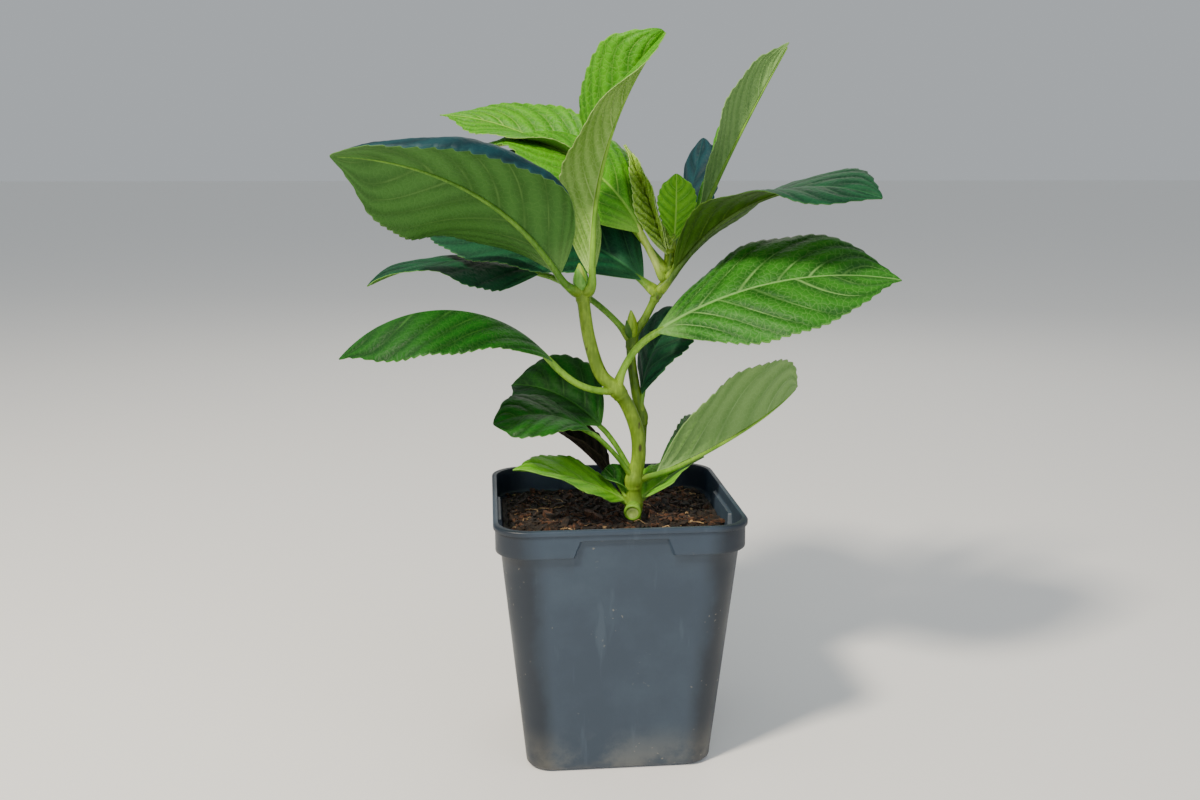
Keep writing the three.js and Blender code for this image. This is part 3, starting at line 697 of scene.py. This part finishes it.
def mix_height(x, y):
    """The potting mix's level: crowned in the middle, with lumps of three sizes, as products of sines.

    It is hollowed a little round the stem.
    """
    r = np.hypot(x, y) / MIX["reach"]
    lump = 0.9 * np.sin(x * 0.42 + 1.7 * np.sin(y * 0.23)) * np.sin(y * 0.37 + 1.3 * np.sin(x * 0.31))
    lump = lump + 0.5 * np.sin(x * 1.13 + 2 * np.sin(y * 0.71)) * np.sin(y * 1.21 + x * 0.3)
    lump = lump + 0.28 * np.sin(x * 2.9 + 2 * np.sin(y * 1.7)) * np.sin(y * 3.1 + 2 * np.sin(x * 1.3))
    hollow = MIX["hollow"] * smooth(3, 7, from_stem(x, y)) - MIX["hollow"]
    return MIX["level"] + MIX["crown"] * (1 - r ** 2) + MIX["lump"] * lump + hollow


def make_mix():
    """A lumpy top on squares drawn in towards the middle, plain sides below, and crumbs strewn over it."""
    shape = Shape()

    def inside(z):
        """Half the mix's width at a height."""
        return wall_half(z) - POT["wall"] - GAP

    rings = []
    reach = inside(MIX["level"])
    for share in np.linspace(0.02, 1, 90):
        ring = square_ring(reach * share, corner_at(MIX["level"]) * share, 0)
        ring[:, 2] = mix_height(ring[:, 0], ring[:, 1])
        rings.append(ring)
    below = np.linspace(MIX["level"] - 2.5, POT["floor"] + GAP, 8)
    rings += [square_ring(inside(z), corner_at(z), z) for z in below]
    shape.rings(np.stack(rings), flip=True)
    draw = np.random.default_rng(7)
    spots = draw.uniform(-1, 1, (MIX["crumbs"], 2)) * (reach - 2)
    sizes = draw.gamma(1.6, 0.5, MIX["crumbs"]) + 0.35
    turn = np.arange(6) * math.pi / 3
    walls = [[i, i + 6, (i + 1) % 6 + 6, (i + 1) % 6] for i in range(6)]
    crumb_faces = [list(range(6)), list(range(11, 5, -1))] + walls
    for (x, y), size in zip(spots, sizes):
        long, flat = size * draw.uniform(0.9, 2.6), size * draw.uniform(0.25, 0.6)
        axis = direction(draw.uniform(0, 180), draw.normal(0, 25))
        corners = draw.uniform(0.55, 1.0, (2, 6, 1))
        shade = draw.uniform()
        if from_stem(x, y) < MIX["bare_patch"]:
            continue
        across = unit(np.cross([0, 0, 1.0], axis))
        lift = np.cross(axis, across) * flat / 2
        outline = axis * (np.cos(turn) * long / 2)[:, None] + across * (np.sin(turn) * size / 2)[:, None]
        base = np.array([x, y, mix_height(x, y) + 0.12 * size])
        points = np.concatenate([base + outline * corners[0] + lift, base + outline * corners[1] - lift])
        shape.add(points, crumb_faces, 2 if shade < 0.035 else 1 if shade < 0.35 else 0)
    for _ in range(MIX["fibres"]):
        x, y = draw.uniform(-1, 1, 2) * (reach - 6)
        length, bend, heading = draw.uniform(4, 15), draw.normal(0, 70), draw.uniform(0, 360)
        s = np.linspace(0, 1, 9)
        tangent = direction(heading + bend * s, 14 * np.cos(3 * s + heading))
        path = np.array([x, y, 0]) + np.cumsum(tangent, 0) * length / 9
        keep = from_stem(path[:, 0], path[:, 1]).min() > MIX["bare_patch"]
        if keep and np.abs(path[:, :2]).max() < reach - 1.5:
            path[:, 2] = mix_height(path[:, 0], path[:, 1]) + 0.35 + 0.5 * np.sin(np.pi * s)
            thick = draw.uniform(0.12, 0.4)
            look = 2 if draw.uniform() < 0.25 else 1
            tube(shape, path, np.gradient(path, axis=0), thick * (1 - 0.4 * s), 5, look)
    shape.make("bark_and_peat", [PEAT, BARK, PALE_FIBRE], "potting_mix", sharp=35)


def grain(size):
    """The scale of a pattern on Object coordinates from the size of its cells in millimetres."""
    return 1 / (size * MM)


EASED = {"interpolation_type": "SMOOTHSTEP"}  # a Map Range node that starts and ends gently
COLOURS = {"data_type": "RGBA", "out": 2}  # a Mix node for colours, which are its inputs 6 and 7


def node(tree, kind, links=(), out=0, **settings):
    """Adds one shader node with its settings and links, and gives one or all of its outputs.

    links gives the inputs in order, or by name or number. Each is a socket, a value or a hex code.
    """
    made = tree.nodes.new("ShaderNode" + kind)
    for name, value in settings.items():
        setattr(made, name, value)
    for socket, value in links.items() if isinstance(links, dict) else enumerate(links):
        if isinstance(value, bpy.types.NodeSocket):
            tree.links.new(value, made.inputs[socket])
        else:
            made.inputs[socket].default_value = linear(value) if isinstance(value, str) else value
    return list(made.outputs) if out == "all" else made.outputs[out]


def material(name, build):
    """A material whose surface is one Principled shader that build fills in."""
    made = bpy.data.materials.new(name)
    made.use_nodes = True
    tree = made.node_tree
    tree.nodes.clear()
    output = tree.nodes.new("ShaderNodeOutputMaterial")
    tree.links.new(build(tree), output.inputs["Surface"])
    return made


def leaf_skin(name, blade, shade, vein, rough=0.5, veins=0.7, network=0.3, foot=0.5):
    """Leaf skin. veins and network say how far the side veins and the fine veins show.

    The eye meets a pale midrib and pale side veins that thin outwards, a net of fine veins
    with 2 mm cells, a green with painted shade along the sunk side veins, uneven over 18 mm, and a
    yellower foot and rim. plan is in millimetres, so a pattern on it has 1 over its cells' size
    as its scale.
    """

    def build(tree):
        plan = node(tree, "Attribute", out="Vector", attribute_name="plan")
        share = node(tree, "Attribute", out="Vector", attribute_name="share")
        _, across, rib = node(tree, "SeparateXYZ", [plan], out="all")
        along, aside, count = node(tree, "SeparateXYZ", [share], out="all")
        across = node(tree, "Math", [across], operation="ABSOLUTE")
        aside = node(tree, "Math", [aside], operation="ABSOLUTE")

        off_vein = node(tree, "Math", (count, 0.5), operation="PINGPONG")
        width = node(tree, "MapRange", (aside, 0, 0.9, 0.09, 0.03), **EASED)
        outward = node(tree, "MapRange", (aside, 1, 0.5, 0.2, 1), **EASED)
        drift = node(
            tree, "TexNoise", {"Vector": plan, "Scale": 1 / 16.67, "Detail": 1}, noise_dimensions="2D")
        showing = node(tree, "MapRange", (drift, 0.38, 0.6, 0.3, 1), **EASED)
        showing = node(tree, "Math", (outward, showing), operation="MULTIPLY")
        side_vein = node(tree, "MapRange", (off_vein, width, 0, 0, showing), **EASED)
        rib_edge, rib_top = (node(tree, "Math", (rib, part), operation="MULTIPLY") for part in (0.85, 0.35))
        midrib = node(tree, "MapRange", (across, rib_edge, rib_top), **EASED)
        lines = node(tree, "Math", (side_vein, midrib), operation="MAXIMUM")
        lines = node(tree, "Math", (lines, veins), operation="MULTIPLY")

        stray = node(
            tree, "TexNoise", {"Vector": plan, "Scale": 1 / 2, "Detail": 2}, "Color", noise_dimensions="2D")
        bent = node(tree, "VectorMath", (stray, (1.6, 1.6, 0), plan), operation="MULTIPLY_ADD")
        cells = {"feature": "DISTANCE_TO_EDGE", "voronoi_dimensions": "2D"}
        coarse = node(tree, "TexVoronoi", {"Vector": bent, "Scale": 1 / 2.22}, **cells)
        fine = node(tree, "TexVoronoi", {"Vector": bent, "Scale": 1 / 0.91}, **cells)
        net = node(tree, "MapRange", (coarse, 0.11, 0, 0, network), **EASED)
        lines = node(tree, "Math", (lines, net), operation="MAXIMUM")

        place = node(tree, "TexCoord", out="Object")
        cloud = node(
            tree, "TexNoise", {"Vector": place, "Scale": grain(18.2), "Detail": 5, "Roughness": 0.62})
        # painted shade: the green turns to the shade colour along the sunk side veins, and the cloud varies
        # it at random
        dome = node(tree, "Math", (off_vein, 1.1, cloud), operation="MULTIPLY_ADD")
        full = node(tree, "MapRange", (dome, 0.42, 1.05), **EASED)
        ground = node(tree, "Mix", {0: full, 6: shade, 7: blade}, **COLOURS)
        young = node(tree, "MapRange", (along, 0.16, 0, 0, foot), **EASED)
        ground = node(tree, "Mix", {0: young, 6: ground, 7: vein}, **COLOURS)
        rim = node(tree, "MapRange", (aside, 0.965, 1, 0, 0.45), **EASED)
        ground = node(tree, "Mix", {0: rim, 6: ground, 7: vein}, **COLOURS)

        pits = node(tree, "Math", (fine, 0.35, coarse), operation="MULTIPLY_ADD")
        relief = node(tree, "Bump", {"Strength": 0.3 + network, "Distance": 0.5 * MM, "Height": pits})
        gloss = node(tree, "Math", (cloud, 0.16, rough - 0.08), operation="MULTIPLY_ADD")
        colour = node(tree, "Mix", {0: lines, 6: ground, 7: vein}, **COLOURS)
        return node(tree, "BsdfPrincipled", {
            "Base Color": colour, "Roughness": gloss, "IOR": 1.45, "Specular IOR Level": 0.24,
            "Normal": relief})

    return material(name, build)


# The upper skins are glossier, with veins paler than the blade. 'deep', 'dark' and 'blue' are darker copies
# with painted shade, for leaves that lie in shade.
UPPER_SKINS = {
    "bright": leaf_skin("bright_leaf", "#6cb018", "#468f0c", "#a8d05c", veins=0.5, network=0.12),
    "fresh": leaf_skin("fresh_leaf", "#4e9a0a", "#337606", "#9ac850", veins=0.65, network=0.18),
    "full": leaf_skin("full_leaf", "#2c7016", "#164b0e", "#8abc66", veins=0.6, network=0.16),
    # painted shade: 'deep', 'dark' and 'blue' are darker copies of the leaf greens, for leaves that lie in
    # shade
    "deep": leaf_skin("shaded_deep_leaf", "#16560d", "#0a3a08", "#52903a", veins=0.32, network=0.1),
    "dark": leaf_skin("shaded_dark_leaf", "#0e4a2a", "#07301d", "#3f7f4a", rough=0.6, veins=0.38, network=0.1),
    "blue": leaf_skin("shaded_blue_leaf", "#103b42", "#09282f", "#2f5f58", rough=0.56, veins=0.25, network=0.08),
    "young": leaf_skin("young_leaf", "#86ae36", "#4c7616", "#c6dc8c", veins=0.45, network=0.3),
    "dead": leaf_skin("dead_leaf", "#2b2118", "#120d09", "#40332a", rough=0.75, veins=0.3, foot=0),
}
# The undersides are matt and greyer. 'olive' has a painted glow, as of light coming through the leaf from
# behind, and 'shaded' is a darker copy with painted shade, for one that no light comes through.
UNDER_SKINS = {
    "green": leaf_skin("green_underside", "#528a26", "#3a6f15", "#8cb65a", rough=0.6, veins=0.6),
    # painted light: 'olive' glows as if lit through from behind, and 'shaded' is its darker copy in shade
    "olive": leaf_skin("olive_underside_painted_glow", "#41702c", "#325c1f", "#749c50", rough=0.6, veins=0.3, network=0.1),
    "shaded": leaf_skin("shaded_underside", "#3a5f12", "#29470b", "#5c7e2c", rough=0.6, network=0.1),
    "grey": leaf_skin("grey_underside", "#769c54", "#5f8742", "#9dbd78", rough=0.62, veins=0.5, network=0.15),
    "pale": leaf_skin("pale_underside", "#86ae50", "#64902f", "#bcd682", rough=0.6, veins=0.6, network=0.2),
    "bright": leaf_skin("bright_underside", "#58a818", "#3f8a0c", "#9acb54", veins=0.45, network=0.12),
    "young_under": leaf_skin("young_underside", "#92b84e", "#6f9c30", "#c6dd8c", rough=0.58, veins=0.8),
    "dead": leaf_skin("dead_underside", "#332820", "#17110c", "#4a3c2c", rough=0.8, veins=0.4, foot=0),
}


STEM_GREENS = ("#8aaa30", "#62811c")


def green_bark(name, light, dark, speck, rough=0.5, specks=0.6, all_over=False):
    """Green bark: the eye meets lengthwise streaks, drifts of a duller green, and small corky specks.

    A stalk takes on the stem's yellower green over its last few millimetres, unless its own
    green is all over.
    """

    def build(tree):
        place = node(tree, "TexCoord", out="Object")
        long = node(tree, "Mapping", {"Vector": place, "Scale": (1, 1, 0.2)})
        streak = node(tree, "TexNoise", {"Vector": long, "Scale": grain(0.91), "Detail": 3})
        drift = node(
            tree, "TexNoise", {"Vector": place, "Scale": grain(11.76), "Detail": 4, "Roughness": 0.6})
        streaky = node(tree, "Math", (streak, 0.5, drift), operation="MULTIPLY_ADD")
        lighter = node(tree, "MapRange", (streaky, 0.58, 0.92), **EASED)
        stem_green = node(tree, "Mix", {0: lighter, 6: STEM_GREENS[1], 7: STEM_GREENS[0]}, **COLOURS)
        own_green = node(tree, "Mix", {0: lighter, 6: dark, 7: light}, **COLOURS)
        plan = node(tree, "Attribute", out="Vector", attribute_name="plan")
        away = node(tree, "SeparateXYZ", [plan])
        own = node(tree, "MapRange", (away, -1, 0) if all_over else (away, 2.5, 8), **EASED)
        ground = node(tree, "Mix", {0: own, 6: stem_green, 7: own_green}, **COLOURS)

        short = node(tree, "Mapping", {"Vector": place, "Scale": (1, 1, 0.45)})
        spots = node(tree, "TexVoronoi", {"Vector": short, "Scale": grain(3.03)})
        chance = node(tree, "TexNoise", {"Vector": place, "Scale": grain(5.26), "Detail": 1})
        some = node(tree, "MapRange", (chance, 0.48, 0.6, 0, specks), **EASED)
        dots = node(tree, "MapRange", (spots, 0.3, 0.12, 0, some), **EASED)
        colour = node(tree, "Mix", {0: dots, 6: ground, 7: speck}, **COLOURS)
        height = node(tree, "Math", (dots, -0.5, streak), operation="MULTIPLY_ADD")
        relief = node(tree, "Bump", {"Strength": 0.35, "Distance": 0.3 * MM, "Height": height})
        return node(tree, "BsdfPrincipled", {
            "Base Color": colour, "Roughness": rough, "IOR": 1.45, "Specular IOR Level": 0.38,
            "Normal": relief})

    return material(name, build)


STEM_BARK = green_bark("green_stem_bark", *STEM_GREENS, "#3a3214", specks=0.9)
SHOOT_BARK = green_bark("dark_green_shoot_bark", "#64861c", "#42620f", "#2e2c12", all_over=True)
CUT_FACE = green_bark("dry_cut_face", "#b2ca74", "#8fae4e", "#7c7c44", rough=0.7, all_over=True)
STALK_SKINS = {
    "light": green_bark("leaf_stalk_light_green", "#84b236", "#5f8f24", "#55662a", specks=0.3),
    "green": green_bark("leaf_stalk_green", "#6d9c30", "#4a791c", "#465422", specks=0.3),
    "olive": green_bark("leaf_stalk_olive", "#4a6c1c", "#335010", "#30341a", specks=0.4),
    "cream": green_bark("leaf_stalk_cream_green", "#d2e27a", "#a8c846", "#8a9450", specks=0.2),
    "young": green_bark("leaf_stalk_young_green", "#a8c44c", "#7ea52a", "#7d8440", specks=0.2),
    "dead": green_bark("leaf_stalk_withered", "#30241a", "#17110c", "#100c0a", rough=0.75),
}
BUD_SCALES = {
    "pale": green_bark("bud_scale_pale_green", "#7bb24a", "#528c28", "#4c6a2a", rough=0.45, specks=0.3),
    "dark": green_bark("bud_scale_dark_green", "#4c7c1c", "#2f5c10", "#2e4414", rough=0.45, specks=0.3),
    "yellow": green_bark("bud_scale_yellow_green", "#9cb420", "#6f9616", "#5c6a1c", rough=0.45, specks=0.3),
}


def black_plastic(tree):
    """Moulded black polypropylene: satin, near-black at the corners, with a painted grey reflection over the
    flat of each side.

    Rubbed drifts and runs pale the painted reflection further, and dry splashes and dust lie over it. The
    moulding's grain is drawn coarser than it is, at 0.4 mm, so that it shows.
    """
    place = node(tree, "TexCoord", out="Object")
    drift = node(tree, "TexNoise", {"Vector": place, "Scale": grain(38.5), "Detail": 6, "Roughness": 0.68})
    tall = node(tree, "Mapping", {"Vector": place, "Scale": (1, 1, 0.12)})
    runs = node(tree, "TexNoise", {"Vector": tall, "Scale": grain(4.76), "Detail": 3, "Roughness": 0.6})
    rubbed = node(tree, "MapRange", (drift, 0.4, 0.75, 0, 0.3), **EASED)
    streak = node(tree, "MapRange", (runs, 0.56, 0.74, 0, 0.3), **EASED)
    paler = node(tree, "Math", (rubbed, streak), operation="MAXIMUM")
    # painted reflection: the grey that stands for what each flat side reflects, paler where rubbed and along
    # runs
    skin = node(tree, "Mix", {0: paler, 6: "#2b3a49", 7: "#4e5d6b"}, **COLOURS)

    x, y, height = node(tree, "SeparateXYZ", [place], out="all")
    x, y = (node(tree, "Math", [part], operation="ABSOLUTE") for part in (x, y))
    inner, outer = (node(tree, "Math", (x, y), operation=which) for which in ("MINIMUM", "MAXIMUM"))
    # painted reflection: a ragged mask that lays the grey over the middle of each flat side and leaves
    # near-black plastic at the corners
    aside = node(tree, "Math", (inner, outer), operation="DIVIDE")
    aside = node(tree, "Math", (drift, 0.4, aside), operation="MULTIPLY_ADD")
    painted_reflection = node(tree, "MapRange", (aside, 1.06, 0.84), **EASED)
    skin = node(tree, "Mix", {0: painted_reflection, 6: "#16212d", 7: skin}, **COLOURS)

    stray = node(tree, "TexNoise", {"Vector": place, "Scale": grain(1.11), "Detail": 2}, out="Color")
    ragged = node(tree, "VectorMath", (stray, [1.6 * MM] * 3, place), operation="MULTIPLY_ADD")
    spots = node(tree, "TexVoronoi", {"Vector": ragged, "Scale": grain(2.38)})
    chance = node(tree, "TexNoise", {"Vector": place, "Scale": grain(13.33), "Detail": 2})
    some = node(tree, "MapRange", (chance, 0.55, 0.68, 0, 0.55), **EASED)
    splash = node(tree, "MapRange", (spots, 0.2, 0.08, 0, some), **EASED)
    patchy = node(tree, "MapRange", (drift, 0.4, 0.6, 0, 0.32), **EASED)
    dust = node(tree, "MapRange", (height, 20 * MM, 0, 0, patchy), **EASED)
    dirt = node(tree, "Math", (splash, dust), operation="MAXIMUM")
    skin = node(tree, "Mix", {0: dirt, 6: skin, 7: "#8a8678"}, **COLOURS)

    mould = node(tree, "TexNoise", {"Vector": place, "Scale": grain(0.385), "Detail": 2})
    relief = node(tree, "Bump", {"Strength": 0.12, "Distance": 0.2 * MM, "Height": mould})
    gloss = node(tree, "MapRange", (drift, 0.3, 0.7, 0.38, 0.52), **EASED)
    return node(tree, "BsdfPrincipled", {
        "Base Color": skin, "Roughness": gloss, "IOR": 1.49, "Normal": relief})


def damp_fibre(name, light, dark):
    """Damp plant fibre: dark, with paler threads and a rough broken skin."""

    def build(tree):
        place = node(tree, "TexCoord", out="Object")
        cloud = node(
            tree, "TexNoise", {"Vector": place, "Scale": grain(2.38), "Detail": 6, "Roughness": 0.72})
        paler = node(tree, "MapRange", (cloud, 0.38, 0.68), **EASED)
        colour = node(tree, "Mix", {0: paler, 6: dark, 7: light}, **COLOURS)
        relief = node(tree, "Bump", {"Strength": 0.8, "Distance": 1 * MM, "Height": cloud})
        return node(tree, "BsdfPrincipled", {"Base Color": colour, "Roughness": 0.85, "Normal": relief})

    return material(name, build)


PLASTIC = material("black_moulded_polypropylene", black_plastic)
PEAT = damp_fibre("damp_peat", "#3a2a1c", "#0d0906")
BARK = damp_fibre("bark_chip", "#704a30", "#2a1a10")
PALE_FIBRE = damp_fibre("pale_wood_fibre", "#b89a70", "#6e5638")


make_pot()
make_mix()
make_limb("main_stem_bark", "main_stem", MAIN_STEM, STEM_BARK, CUT_STUB)
make_limb("right_shoot_bark", "right_shoot", RIGHT_SHOOT, SHOOT_BARK)
for bud_name, bud in BUDS.items():
    make_bud(bud_name, bud)
for leaf_name, values in LEAVES.items():
    make_leaf(leaf_name, values)


PLANT_MIDDLE = Vector((0, 0, 0.14))


def floor_paint(tree):
    """A plain matt pale floor."""
    return node(tree, "BsdfPrincipled", {"Base Color": "#f5f4f1", "Roughness": 0.9})


def add_floor():
    """A flat square under the pot, forty metres a side."""
    half = 20
    mesh = bpy.data.meshes.new("studio_floor")
    corners = [(-half, -half, 0), (half, -half, 0), (half, half, 0), (-half, half, 0)]
    mesh.from_pydata(corners, [], [(0, 1, 2, 3)])
    mesh.materials.append(material("pale_matt_floor", floor_paint))
    put("studio_floor", mesh)


def add_light(name, place, size, watts, colour):
    """A soft square light that looks at the middle of the plant."""
    lamp = bpy.data.lights.new(name, "AREA")
    lamp.size = size
    lamp.energy = watts
    lamp.color = linear(colour)[:3]
    holder = put(name, lamp)
    holder.location = place
    holder.rotation_euler = (PLANT_MIDDLE - Vector(place)).to_track_quat("-Z", "Y").to_euler()


def add_camera():
    """The photograph's own viewpoint, turned and dipped to centre the plant."""
    turn, dip = -5.5, 11.3
    lens = bpy.data.cameras.new("camera")
    lens.lens = 34.8
    lens.clip_start = 0.01
    camera = put("camera", lens)
    camera.location = (-0.045, -0.422, 0.216)
    camera.rotation_euler = (math.radians(90 - dip), 0, math.radians(turn))
    bpy.context.scene.camera = camera


add_floor()
add_camera()
add_light("key_light", (-0.6, -0.55, 1.0), 0.16, 20, "#fff3df")
add_light("fill_light", (1.0, -1.0, 0.75), 1.0, 3.4, "#e6eeff")
add_light("front_light", (-0.3, -1.4, 0.6), 0.8, 3.2, "#e6eefc")
add_light("back_light", (0.25, 0.9, 0.8), 0.6, 2, "#fbf6e8")

world = bpy.data.worlds.new("studio_air")
world.use_nodes = True
air = world.node_tree.nodes["Background"].inputs
air["Color"].default_value = linear("#dde3e8")
air["Strength"].default_value = 0.6
bpy.context.scene.world = world
